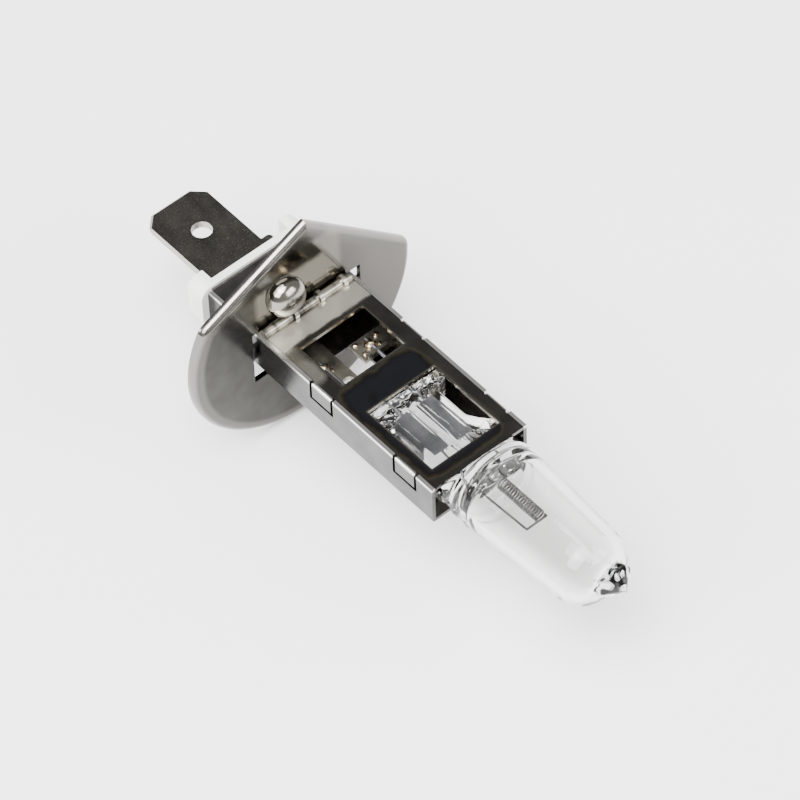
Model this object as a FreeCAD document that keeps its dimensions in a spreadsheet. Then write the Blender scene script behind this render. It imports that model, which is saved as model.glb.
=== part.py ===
import FreeCAD, Part
import math
import os
import re

# Headlight bulb with a flanged sheet-metal base and a single flat terminal.
# Frame: origin at the centre of the flange's front face, -Y towards the glass tip,
# +Y towards the terminal blade, +Z out of the holder's cover plate, +X to the right
# as seen from the tip.

V = FreeCAD.Vector
os.makedirs("parts", exist_ok=True)
doc = FreeCAD.newDocument("HeadlightBulb")

# ---------------------------------------------------------------- driving sizes (mm, degrees)

# A text value is a formula of the size sheet, so that the sizes that must follow another do.
SIZES = {
    # flange disc with two straight edges that meet in an apex
    "flange_radius": 12.1,
    "flange_sheet": 0.5,
    "rim_depth": 0.9,
    "rim_round": 0.7,
    "left_flat_depth": 2.2,
    "left_flat": "=flange_radius - left_flat_depth",
    "left_slope": 24.7,
    "right_flat_depth": 3.25,
    "right_flat": "=flange_radius - right_flat_depth",
    "right_slope": 44.1,
    "corner_round": 1.3,
    "slot_gap_left": 0.4,
    "slot_gap_right": 1.1,
    "slot_drop": 1.8,
    "pip_x": -1.8,
    "pip_rise": 4.25,
    "pip_radius": 1.95,
    "pip_height": 1.5,
    # sheet-metal holder that carries the burner and the insulator
    "holder_width": 10.5,
    "holder_top": 2.0,
    "holder_bottom": -2.3,
    "holder_front": 22.7,
    "holder_rear": 6.4,
    "holder_sheet": 0.35,
    "holder_inside": "=holder_width - 2 * holder_sheet",
    "bend_round": 0.3,
    "fit_gap": 0.05,
    "tool_reach": 1.0,
    "cover_rear": 0.55,
    "cover_width": "=holder_inside - 2 * fit_gap",
    "rear_lip_width": 6.3,
    "lug_length": 2.6,
    "lug_height": 1.7,
    "rear_window_rail": 1.8,
    "rear_window_width": "=holder_width - 2 * rear_window_rail",
    "rear_window_start": 3.7,
    "rear_window_end": 9.2,
    "front_window_rail": 1.55,
    "front_window_width": "=holder_width - 2 * front_window_rail",
    "front_window_bridge": 1.75,
    "front_window_length": 8.2,
    "front_window_end": "=holder_front - front_window_bridge",
    "front_window_start": "=front_window_end - front_window_length",
    "floor_window_rail": 2.95,
    "floor_window_width": "=holder_width - 2 * floor_window_rail",
    "tab_length": 2.4,
    "tab_drop": 1.75,
    "rear_tab_at": 8.5,
    "front_tab_inset": 3.5,
    "front_tab_at": "=holder_front - front_tab_inset",
    "notch_gap": 0.3,
    "knuckle_radius": 0.42,
    "collar_radius": 0.6,
    "collar_width": 0.4,
    "collar_shift": 0.02,
    # ceramic insulator
    "ceramic_front": 1.6,
    "collar_step": 0.7,
    "collar_wide": "=holder_width + 2 * collar_step",
    "collar_rise": 0.3,
    "collar_tall": "=holder_top - holder_bottom + 2 * collar_rise",
    "collar_length": 0.7,
    "collar_end": "=holder_rear + collar_length",
    "lobe_length": 1.95,
    "lobe_end": "=holder_rear + lobe_length",
    "lobe_width": 1.7,
    "ceramic_round": 1.2,
    # flat terminal blade
    "blade_width": 6.3,
    "blade_thickness": 0.8,
    "blade_top": -0.34,
    "shoulder_width": 8.2,
    "shoulder_length": 2.4,
    "shoulder_at": "=collar_end + shoulder_length",
    "shoulder_round": 0.4,
    "tongue_length": 8.6,
    "blade_end": "=shoulder_at + tongue_length",
    "blade_nose": 1.0,
    "blade_bevel": 0.24,
    "blade_hole_radius": 0.95,
    "blade_hole_inset": 4.35,
    "blade_hole_at": "=blade_end - blade_hole_inset",
    "shank_width": 4.6,
    "shank_start": 3.4,
    # live contact strip and earth tab
    "strip_width": 2.0,
    "strip_left": -2.4,
    "strip_sheet": 0.4,
    "strip_front": 9.6,
    "strip_top": "=blade_top - blade_thickness + strip_sheet",
    "strip_hole_radius": 0.5,
    "strip_hole_x": -1.3,
    "strip_hole_at": 7.45,
    "earth_left": 1.0,
    "earth_start": 4.6,
    "earth_end": 6.9,
    "earth_sheet": 0.35,
    "earth_top": -0.5,
    "earth_lip_width": 2.2,
    "earth_lip_inset": 0.3,
    # quartz burner
    "burner_rise": 0.3,
    "dimple_radius": 0.5,
    "pinch_half": "=holder_top - holder_sheet - burner_rise",
    "pinch_inset": 1.7,
    "pinch_end": "=holder_front - pinch_inset",
    "pinch_length": 8.4,
    "pinch_start": "=pinch_end - pinch_length",
    "pinch_bar_gap": 0.9,
    "pinch_bar_width": "=holder_inside - 2 * pinch_bar_gap",
    "pinch_bar_length": 1.5,
    "pinch_bar_end": "=pinch_start + pinch_bar_length",
    "pinch_waist_gap": 2.45,
    "pinch_waist_width": "=holder_inside - 2 * pinch_waist_gap",
    "pinch_flare_length": 2.5,
    "pinch_waist_end": "=pinch_end - pinch_flare_length",
    "pinch_front_gap": 0.4,
    "pinch_front_width": "=holder_inside - 2 * pinch_front_gap",
    "bulb_side_gap": 0.7,
    "bulb_radius_base": "=holder_inside / 2 - bulb_side_gap",
    "bulb_taper": 0.5,
    "bulb_radius_end": "=bulb_radius_base - bulb_taper",
    "bulb_stand_off": 2.3,
    "bulb_start": "=holder_front + bulb_stand_off",
    "bulb_straight_length": 10.2,
    "bulb_straight_end": "=bulb_start + bulb_straight_length",
    "bulb_floor": 0.5,
    "dome_length": 3.5,
    "bulb_crown": "=bulb_straight_end + dome_length",
    "glass_wall": 0.85,
    "cavity_floor": 1.1,
    "shoulder_root": 0.8,
    "shoulder_swell": 0.3,
    "shoulder_reach": 1.1,
    "shoulder_flat": 0.9,
    "tip_radius": 1.35,
    "tip_length": 1.9,
    "tip_end": "=bulb_crown + tip_length",
    "spike_sink": 0.7,
    "spike_radius": 1.1,
    "spike_point": 0.1,
    # current path inside the quartz
    "lead_spacing": 2.5,
    "lead_radius": 0.18,
    "lead_inset": 0.6,
    "live_lead_rear": 4.4,
    "live_lead_fall": 1.8,
    "earth_lead_x": 2.5,
    "earth_lead_inset": 0.5,
    "earth_lead_fall": 1.2,
    "foil_inset": 1.7,
    "foil_width": 1.6,
    "foil_thickness": 0.06,
    "foil_start": "=pinch_start + foil_inset",
    "foil_end": "=pinch_end - foil_inset",
    "weld_radius": 0.5,
    "weld_height": 0.5,
    "weld_round": 0.25,
    "live_weld_at": 5.0,
    "earth_weld_at": 5.7,
    "inner_lead_radius": 0.1,
    "coil_start": "=bulb_start",
    "coil_length": 4.9,
    "coil_radius": 0.6,
    "coil_wire_radius": 0.1,
    "coil_turns": 17,
    "coil_offset": 0.5,
    "short_leg_bend": 0.6,
    "return_offset": -1.5,
    "return_lean": 0.3,
    "return_bend": 2.0,
}

sheet = doc.addObject("Spreadsheet::Sheet", "Sizes")
for row, (alias, number) in enumerate(SIZES.items(), start=1):
    sheet.set("A%d" % row, alias)
    sheet.setAlias("B%d" % row, alias)
    sheet.set("B%d" % row, str(number))
doc.recompute()

WORD = re.compile(r"\b[a-z][a-z_]*[a-z]\b")
TOUCH = 0.02     # an edge this close to a plane lies on it
WASTE = 3.0      # length of the flange's waste blocks, in disc radii
SEAM_COLLARS = (-0.165, 0.105, 0.355)   # places along the seam, in holder widths


def size(alias):
    """The value of one cell of the size sheet."""
    return float(sheet.get(alias))


def linked(expression):
    """The expression with every alias written as a reference to the size sheet."""
    return WORD.sub(lambda m: "Sizes." + m.group(0) if m.group(0) in SIZES else m.group(0), expression)


def bind(thing, **expressions):
    """Bind properties of a feature to expressions of the size sheet."""
    for name, expression in expressions.items():
        thing.setExpression(name, linked(expression))
    return thing


def put(thing, x="0", y="0", z="0", turn=None):
    """Bind a feature's position, with an optional fixed turn (axis, degrees)."""
    if turn:
        thing.Placement = FreeCAD.Placement(V(0, 0, 0), FreeCAD.Rotation(V(*turn[0]), turn[1]))
    for axis, expression in zip("xyz", (x, y, z)):
        thing.setExpression("Placement.Base." + axis, linked(expression))
    return thing


TO_TIP = ((1, 0, 0), 90)      # a primitive's own Z axis turned to -Y
UPRIGHT = ((0, 0, 1), 0)
ALONG_X = ((0, 1, 0), 90)


def block(name, width, depth, height, x, y, z):
    """A box of the given width (X), depth (Y) and height (Z) from its lowest corner."""
    made = doc.addObject("Part::Box", name)
    bind(made, Length=width, Width=depth, Height=height)
    return put(made, x, y, z)


def rod(name, radius, length, x, y, z, turn=TO_TIP):
    """A cylinder that starts at the given point."""
    made = doc.addObject("Part::Cylinder", name)
    bind(made, Radius=radius, Height=length)
    return put(made, x, y, z, turn)


def cone(name, first, second, length, x, y, z):
    made = doc.addObject("Part::Cone", name)
    bind(made, Radius1=first, Radius2=second, Height=length)
    return put(made, x, y, z, TO_TIP)


def egg(name, along, across, tall, x, y, z):
    """An ellipsoid with its long axis along Y."""
    made = doc.addObject("Part::Ellipsoid", name)
    made.Angle1 = -90
    bind(made, Radius1=along, Radius2=across, Radius3=tall)
    return put(made, x, y, z, TO_TIP)


def fuse(name, pieces):
    made = doc.addObject("Part::MultiFuse", name)
    made.Shapes = pieces
    made.Refine = True
    return made


def cut(name, base, tools):
    """The base with every tool taken away."""
    tool = tools[0] if len(tools) == 1 else fuse(name + "_tools", tools)
    made = doc.addObject("Part::Cut", name)
    made.Base = base
    made.Tool = tool
    made.Refine = True
    return made


def rounded(name, base, radius, wanted):
    """The base with a fillet on each edge that the test accepts."""
    doc.recompute()
    picked = [i for i, edge in enumerate(base.Shape.Edges, start=1) if wanted(edge)]
    made = doc.addObject("Part::Fillet", name)
    made.Base = base
    made.Edges = [(i, radius, radius) for i in picked]
    return made


def straight(edge, direction):
    """True for a straight edge along the given direction."""
    if not isinstance(edge.Curve, (Part.Line, Part.LineSegment)):
        return False
    along = edge.tangentAt(edge.FirstParameter)
    return abs(abs(along.dot(V(*direction))) - 1) < TOUCH


def middle(edge):
    return edge.valueAt((edge.FirstParameter + edge.LastParameter) / 2)


def near(value, level):
    """True where a coordinate lies on a level, on either side of the middle."""
    return abs(abs(value) - abs(level)) < TOUCH


PARTS = []


def part(label, thing):
    """Mark a finished feature as a sub-part under its own label."""
    thing.Label = label
    PARTS.append(thing)
    return thing


# ---------------------------------------------------------------- flange

def flange_blank(name, inset, start, depth):
    """A disc with the two straight edges, drawn in by an inset."""
    disc = rod(name + "_disc", "flange_radius - " + inset, depth, "0", start + " + " + depth, "0")
    side = WASTE * size("flange_radius")
    waste = []
    for tag, slope in (("left", -size("left_slope")), ("right", size("right_slope"))):
        piece = doc.addObject("Part::Box", name + "_" + tag)
        piece.Length = side
        piece.Height = side
        bind(piece, Width=depth)
        piece.Placement = FreeCAD.Placement(V(0, 0, 0), FreeCAD.Rotation(V(0, 1, 0), slope))
        reach = "(%s_flat - %s)" % (tag, inset)
        put_x = "%s * sin(%f) - %f * cos(%f)" % (reach, slope, side / 2, slope)
        put_z = "%s * cos(%f) + %f * sin(%f)" % (reach, slope, side / 2, slope)
        put(piece, put_x, start, put_z, ((0, 1, 0), slope))
        waste.append(piece)
    return cut(name, disc, waste)


def make_flange():
    blank = flange_blank("flange_blank", "0", "0", "rim_depth")
    rounded_corners = rounded("flange_corners", blank, size("corner_round"),
                              lambda e: straight(e, (0, 1, 0)) and middle(e).z < size("right_flat"))
    pan = rounded("flange_pan", rounded_corners, size("rim_round"),
                  lambda e: all(near(v.Point.y, 0) for v in e.Vertexes) and near(middle(e).y, 0))
    hollow = flange_blank("flange_hollow", "flange_sheet", "flange_sheet", "rim_depth")
    opening = block("flange_opening",
                    "holder_width + slot_gap_left + slot_gap_right", "4 * rim_depth",
                    "holder_top - holder_bottom + slot_drop",
                    "-holder_width / 2 - slot_gap_left", "-2 * rim_depth", "holder_bottom - slot_drop")
    plate = cut("flange_plate", pan, [hollow, opening])
    dome = egg("pip_dome", "pip_height", "pip_radius", "pip_radius", "pip_x", "0", "pip_rise")
    front_only = block("pip_front", "4 * pip_radius", "2 * pip_height + flange_sheet", "4 * pip_radius",
                       "pip_x - 2 * pip_radius", "-2 * pip_height", "pip_rise - 2 * pip_radius")
    cap = doc.addObject("Part::Common", "pip_cap")
    cap.Base = dome
    cap.Tool = front_only
    dimple = egg("pip_dimple", "pip_height - flange_sheet", "pip_radius - flange_sheet",
                 "pip_radius - flange_sheet", "pip_x", "flange_sheet / 4", "pip_rise")
    return part("flange", cut("flange_part", fuse("flange_with_pip", [plate, cap]), [dimple]))


# ---------------------------------------------------------------- holder channel and covers

def side_boxes(name, width, depth, height, centre_y, low):
    """Two equal boxes, one on each side wall, centred on a place along the holder."""
    left = block(name + "_left", width, depth, height,
                 "-holder_width / 2 - fit_gap", "-%s - (%s) / 2" % (centre_y, depth), low)
    right = block(name + "_right", width, depth, height,
                  "holder_width / 2 + fit_gap - (%s)" % width, "-%s - (%s) / 2" % (centre_y, depth), low)
    return [left, right]


def floor_window(name, start, end):
    return block(name, "floor_window_width", "%s - %s" % (end, start), "2 * holder_sheet",
                 "-floor_window_width / 2", "-" + end, "holder_bottom - holder_sheet / 2")


def make_channel():
    tall = "holder_top - holder_bottom"
    outside = block("channel_outside", "holder_width", "holder_front + holder_rear", tall,
                    "-holder_width / 2", "-holder_front", "holder_bottom")
    inside = block("channel_inside", "holder_inside", "holder_front + holder_rear + 2 * tool_reach", tall,
                   "-holder_inside / 2", "-holder_front - tool_reach", "holder_bottom + holder_sheet")
    tools = [inside]
    tools.append(floor_window("channel_rear_window", "rear_window_start", "rear_window_end"))
    tools.append(floor_window("channel_front_window", "front_window_start", "front_window_end"))
    for tag in ("rear", "front"):
        tools += side_boxes("channel_notch_" + tag, "holder_sheet + 2 * fit_gap", "tab_length + 2 * notch_gap",
                            "tab_drop + notch_gap + fit_gap", tag + "_tab_at",
                            "holder_top - tab_drop - notch_gap")
    bare = cut("channel_bare", outside, tools)
    bends = rounded("channel_part", bare, size("bend_round"),
                    lambda e: straight(e, (0, 1, 0)) and near(middle(e).z, size("holder_bottom"))
                    and near(middle(e).x, size("holder_width") / 2))
    return part("holder_channel", fuse("channel_with_dimples", [bends] + floor_dimples()))


def floor_dimples():
    """Four bosses pressed up from the floor, on which the pinch rests."""
    floor = "holder_bottom + holder_sheet"
    made = []
    for tag, x, y in (("rear", "pinch_bar_width / 2 - 2 * dimple_radius", "(pinch_start + pinch_bar_end) / 2"),
                      ("front", "pinch_front_width / 2 - 2 * dimple_radius", "pinch_end - dimple_radius")):
        for side, sign in (("left", "-"), ("right", "")):
            made.append(rod("dimple_%s_%s" % (tag, side), "dimple_radius",
                            "burner_rise - pinch_half - (%s)" % floor,
                            "%s(%s)" % (sign, x), "-(%s)" % y, floor, UPRIGHT))
    return made


def make_cover():
    """Cover plate with two windows, four folded tabs and a rolled edge at the flange."""
    plate = block("cover_plate", "cover_width", "holder_front - cover_rear", "holder_sheet",
                  "-cover_width / 2", "-holder_front",
                  "holder_top - holder_sheet")
    windows = [block("cover_rear_window", "rear_window_width", "rear_window_end - rear_window_start",
                     "3 * holder_sheet", "-rear_window_width / 2", "-rear_window_end",
                     "holder_top - 2 * holder_sheet"),
               block("cover_front_window", "front_window_width", "front_window_end - front_window_start",
                     "3 * holder_sheet", "-front_window_width / 2", "-front_window_end",
                     "holder_top - 2 * holder_sheet")]
    framed = cut("cover_framed", plate, windows)
    pieces = [framed]
    for tag in ("rear", "front"):
        reach = "holder_sheet + 2 * fit_gap"
        for side, x in (("left", "-holder_width / 2"), ("right", "holder_width / 2 - (%s)" % reach)):
            pieces.append(block("tab_%s_%s_top" % (tag, side), reach, "tab_length", "holder_sheet", x,
                                "-%s_tab_at - tab_length / 2" % tag, "holder_top - holder_sheet"))
        for side, x in (("left", "-holder_width / 2"), ("right", "holder_width / 2 - holder_sheet")):
            pieces.append(block("tab_%s_%s_leg" % (tag, side), "holder_sheet", "tab_length", "tab_drop", x,
                                "-%s_tab_at - tab_length / 2" % tag, "holder_top - tab_drop"))
    folded = rounded("cover_folded", fuse("cover_sharp", pieces), size("bend_round"),
                     lambda e: straight(e, (0, 1, 0)) and near(middle(e).z, size("holder_top"))
                     and near(middle(e).x, size("holder_width") / 2))
    # rolled edge: a roll along the seam with raised collars between the knuckles
    roll = rod("seam_roll", "knuckle_radius", "cover_width", "-cover_width / 2", "-cover_rear",
               "holder_top - holder_sheet + knuckle_radius", ALONG_X)
    rolls = [folded, roll]
    for number, place in enumerate(SEAM_COLLARS, start=1):
        rolls.append(rod("seam_collar_%d" % number, "collar_radius", "collar_width",
                         "%f * holder_width" % place, "-cover_rear - collar_shift",
                         "holder_top - holder_sheet + collar_radius", ALONG_X))
    blank = fuse("cover_rolled", rolls)
    flush = block("cover_flush", "2 * holder_width", "holder_rear", "4 * collar_radius",
                  "-holder_width", "0", "holder_top - 2 * collar_radius")
    relief = egg("cover_pip_relief", "pip_height + fit_gap", "pip_radius + fit_gap", "pip_radius + fit_gap",
                 "pip_x", "0", "pip_rise")
    return part("holder_cover", cut("cover_part", blank, [flush, relief]))


def make_rear_cover():
    """Plate over the insulator behind the flange, with a lip against the flange's back."""
    plate = block("rear_plate", "cover_width", "holder_rear - flange_sheet", "holder_sheet",
                  "-cover_width / 2", "flange_sheet", "holder_top - holder_sheet")
    lip = block("rear_lip", "rear_lip_width", "holder_sheet", "3 * holder_sheet",
                "-rear_lip_width / 2", "flange_sheet", "holder_top - holder_sheet")
    return part("rear_cover", fuse("rear_cover_part", [plate, lip]))


def make_lugs():
    """Angle pieces behind the flange that tie the holder's side walls to the disc."""
    low = "(holder_bottom + holder_sheet)"
    for side, wall, foot in (("left", "-holder_width / 2 - holder_sheet", "-holder_width / 2 - lug_length"),
                             ("right", "holder_width / 2", "holder_width / 2")):
        on_wall = block("lug_%s_wall" % side, "holder_sheet", "lug_length", "lug_height", wall,
                        "flange_sheet", low)
        on_disc = block("lug_%s_disc" % side, "lug_length", "holder_sheet", "lug_height", foot,
                        "flange_sheet", low)
        part("lug_" + side, fuse("lug_%s_part" % side, [on_wall, on_disc]))


# ---------------------------------------------------------------- terminal and insulator

def make_blade():
    level = "blade_top - blade_thickness"
    tongue = block("blade_tongue", "blade_width", "blade_end - shoulder_at", "blade_thickness",
                   "-blade_width / 2", "shoulder_at", level)
    nose = rounded_nose(tongue)
    shoulder = block("blade_shoulder", "shoulder_width", "shoulder_at - collar_end", "blade_thickness",
                     "-shoulder_width / 2", "collar_end", level)
    shank = block("blade_shank", "shank_width", "collar_end - shank_start", "blade_thickness",
                  "-shank_width / 2", "shank_start", level)
    joined = fuse("blade_joined", [nose, shoulder, shank])
    eased = rounded("blade_eased", joined, size("shoulder_round"),
                    lambda e: straight(e, (0, 0, 1)) and near(middle(e).y, size("shoulder_at"))
                    and near(middle(e).x, size("shoulder_width") / 2))
    hole = rod("blade_hole", "blade_hole_radius", "3 * blade_thickness", "0", "blade_hole_at",
               "blade_top - 2 * blade_thickness", UPRIGHT)
    return part("terminal_blade", cut("blade_part", eased, [hole]))


def rounded_nose(tongue):
    """The blade's lead-in: cut corners and bevelled faces at its end."""
    doc.recompute()
    corner = doc.addObject("Part::Chamfer", "blade_corners")
    corner.Base = tongue
    nose = size("blade_nose")
    corner.Edges = [(i, nose, nose) for i, e in enumerate(tongue.Shape.Edges, start=1)
                    if straight(e, (0, 0, 1)) and near(middle(e).y, size("blade_end"))]
    doc.recompute()
    bevel = doc.addObject("Part::Chamfer", "blade_bevel")
    bevel.Base = corner
    depth = size("blade_bevel")
    bevel.Edges = [(i, depth, depth) for i, e in enumerate(corner.Shape.Edges, start=1)
                   if not straight(e, (0, 0, 1)) and middle(e).y > size("blade_end") - nose]
    return bevel


def make_ceramic():
    body = block("ceramic_body", "cover_width", "holder_rear - ceramic_front",
                 "holder_top - holder_bottom - 2 * holder_sheet - 2 * fit_gap",
                 "-cover_width / 2", "ceramic_front",
                 "holder_bottom + holder_sheet + fit_gap")
    middle_z = "(holder_top + holder_bottom) / 2"
    collar = block("ceramic_collar", "collar_wide", "collar_end - holder_rear", "collar_tall",
                   "-collar_wide / 2", "holder_rear", middle_z + " - collar_tall / 2")
    lobes = [block("ceramic_lobe_left", "lobe_width", "lobe_end - holder_rear", "collar_tall",
                   "-collar_wide / 2", "holder_rear", middle_z + " - collar_tall / 2"),
             block("ceramic_lobe_right", "lobe_width", "lobe_end - holder_rear", "collar_tall",
                   "collar_wide / 2 - lobe_width", "holder_rear", middle_z + " - collar_tall / 2")]
    head = rounded("ceramic_head", fuse("ceramic_head_sharp", [collar] + lobes), size("ceramic_round"),
                   lambda e: straight(e, (0, 1, 0)) and near(middle(e).x, size("collar_wide") / 2))
    whole = fuse("ceramic_whole", [head, body])
    slots = [block("ceramic_slot", "shank_width", "collar_end - shank_start + tool_reach", "blade_thickness",
                   "-shank_width / 2", "shank_start", "blade_top - blade_thickness"),
             block("ceramic_strip_slot", "strip_width", "shank_start - ceramic_front + tool_reach",
                   "strip_sheet", "strip_left", "ceramic_front - tool_reach", "blade_top - blade_thickness"),
             block("ceramic_blade_relief", "shoulder_width", "lobe_end", "blade_thickness",
                   "-shoulder_width / 2", "collar_end", "blade_top - blade_thickness")]
    return part("ceramic_insulator", cut("ceramic_part", whole, slots))


# ---------------------------------------------------------------- contacts inside the holder

def make_live_strip():
    """Strip that carries the current from the blade's shank to the live lead."""
    level = "strip_top - strip_sheet"
    strip = block("strip_flat", "strip_width", "strip_front + shank_start", "strip_sheet",
                  "strip_left", "-strip_front", level)
    hole = rod("strip_hole", "strip_hole_radius", "4 * strip_sheet",
               "strip_hole_x", "-strip_hole_at", level + " - strip_sheet", UPRIGHT)
    return part("live_strip", cut("strip_part", strip, [hole]))


def make_earth_tab():
    """Tab welded to the side wall, with a turned-up lip that cradles the earth lead."""
    flat = block("earth_flat", "holder_inside / 2 - earth_left", "earth_end - earth_start",
                 "earth_sheet", "earth_left", "-earth_end", "earth_top - earth_sheet")
    lip = block("earth_lip", "earth_lip_width", "earth_sheet", "2 * earth_sheet",
                "earth_left + earth_lip_inset", "-earth_end", "earth_top - earth_sheet")
    floor = "(holder_bottom + holder_sheet)"
    root = block("earth_root", "earth_sheet", "earth_end - earth_start", "earth_top - " + floor,
                 "holder_inside / 2 - earth_sheet", "-earth_end", floor)
    cradle = rod("earth_cradle", "lead_radius", "2 * tool_reach", "earth_lead_x", "tool_reach - earth_end",
                 "earth_top + lead_radius")
    return part("earth_tab", cut("earth_tab_part", fuse("earth_tab_whole", [flat, lip, root]), [cradle]))


# ---------------------------------------------------------------- wires

def wire_sweep(name, points, radius):
    """A round wire through the given points, with mitred bends."""
    path = Part.makePolygon([V(*p) for p in points])
    start = V(*points[0])
    ahead = V(*points[1]) - start
    ring = Part.Wire([Part.makeCircle(radius, start, ahead)])
    pipe = path.makePipeShell([ring], True, False, 2)
    made = doc.addObject("Part::Feature", name)
    made.Shape = pipe
    return made


def half_spacing():
    return size("lead_spacing") / 2


def live_lead_x():
    """The live lead lies near the strip's left edge."""
    return size("strip_left") + 2 * size("lead_radius")


def make_outer_leads():
    """The two stiff wires from the contacts into the rear of the pinch."""
    rise = size("burner_rise")
    radius = size("lead_radius")
    foil = -size("foil_start")
    inside = -size("pinch_start") + size("lead_inset")
    on_strip = size("strip_top") + radius
    live = wire_sweep("live_lead_part",
                      [(live_lead_x(), -size("live_lead_rear"), on_strip),
                       (live_lead_x(), inside + size("live_lead_fall"), on_strip),
                       (-half_spacing(), inside, rise), (-half_spacing(), foil, rise)], radius)
    x = size("earth_lead_x")
    on_tab = size("earth_top") + radius
    earth = wire_sweep("earth_lead_part",
                       [(x, -size("earth_start") - size("earth_lead_inset"), on_tab),
                        (x, -size("earth_end") - size("earth_lead_fall"), on_tab),
                        (half_spacing(), inside, rise), (half_spacing(), foil, rise)], radius)
    return part("live_lead", live), part("earth_lead", earth)


def make_foils():
    made = []
    for tag, sign in (("live", "-"), ("earth", "")):
        foil = block("foil_%s_part" % tag, "foil_width", "foil_end - foil_start", "foil_thickness",
                     "%slead_spacing / 2 - foil_width / 2" % sign, "-foil_end",
                     "burner_rise - foil_thickness / 2")
        made.append(part("foil_" + tag, foil))
    return made


def make_filament():
    """Tungsten coil on the burner's axis, with its short leg and its return wire."""
    rise = size("burner_rise")
    x = size("coil_offset")
    coil_radius = size("coil_radius") - size("coil_wire_radius")
    pitch = size("coil_length") / size("coil_turns")
    helix = Part.makeHelix(pitch, size("coil_length"), coil_radius)
    start = V(coil_radius, 0, 0)
    ring = Part.Wire([Part.makeCircle(size("coil_wire_radius"), start, V(0, 1, 0))])
    coil = Part.Wire(helix).makePipeShell([ring], True, True)
    made = doc.addObject("Part::Feature", "filament_part")
    made.Shape = coil
    made.Placement = FreeCAD.Placement(V(x, -size("coil_start"), rise),
                                       FreeCAD.Rotation(V(1, 0, 0), 90))
    part("filament_coil", made)
    radius = size("inner_lead_radius")
    foil = -size("foil_end")
    near_end = -size("coil_start") + size("coil_wire_radius")
    far_end = -size("coil_start") - size("coil_length") - radius - size("coil_wire_radius")
    back = size("return_offset")
    short = wire_sweep("short_support_part", [(half_spacing(), foil, rise),
                                              (half_spacing(), near_end + size("short_leg_bend"), rise),
                                              (x + coil_radius, near_end, rise)], radius)
    part("short_support", short)
    bend = -size("bulb_start") + size("return_bend")
    long = wire_sweep("return_support_part", [(-half_spacing(), foil, rise), (back, bend, rise),
                                              (back + size("return_lean"), far_end, rise),
                                              (x + coil_radius, far_end, rise)], radius)
    part("return_support", long)


# ---------------------------------------------------------------- quartz burner

def ellipse_ring(name, across, tall, y):
    ring = doc.addObject("Part::Ellipse", name)
    bind(ring, MajorRadius=across, MinorRadius=tall)
    return put(ring, "0", "-" + y, "burner_rise", TO_TIP)


def arc_to_axis(radius, level, apex):
    """An arc of a circle centred on the axis, from the axis at apex to the radius at level."""
    rise = apex - level
    centre = level + (rise * rise - radius * radius) / (2 * rise)
    circle_radius = abs(apex - centre)
    half = 0.5 * math.atan2(radius, abs(level - centre) if (level - centre) * rise > 0 else -abs(level - centre))
    way = 1 if rise > 0 else -1
    waist = V(circle_radius * math.sin(half), centre + way * circle_radius * math.cos(half), 0)
    return Part.Arc(V(0, apex, 0), waist, V(radius, level, 0))


def circle_ring(name, radius, y):
    ring = doc.addObject("Part::Circle", name)
    bind(ring, Radius=radius)
    return put(ring, "0", "-" + y, "burner_rise", TO_TIP)


def turned(name, inset, floor):
    """A turned solid of the bulb: rounded floor, straight taper and rounded dome, drawn in by an inset."""
    wide = size("bulb_radius_base") - inset
    narrow = size("bulb_radius_end") - inset
    start = -size("bulb_start")
    end = -size("bulb_straight_end")
    apex = start + floor
    crown = -size("bulb_crown") + inset
    sketch = doc.addObject("Sketcher::SketchObject", name + "_profile")
    sketch.addGeometry(arc_to_axis(wide, start, apex), False)
    sketch.addGeometry(Part.LineSegment(V(wide, start, 0), V(narrow, end, 0)), False)
    sketch.addGeometry(arc_to_axis(narrow, end, crown), False)
    sketch.addGeometry(Part.LineSegment(V(0, crown, 0), V(0, apex, 0)), False)
    made = doc.addObject("Part::Revolution", name)
    made.Source = sketch
    made.Axis = V(0, 1, 0)
    made.Base = V(0, 0, 0)
    made.Angle = 360
    made.Solid = True
    return put(made, "0", "0", "burner_rise")


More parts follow.
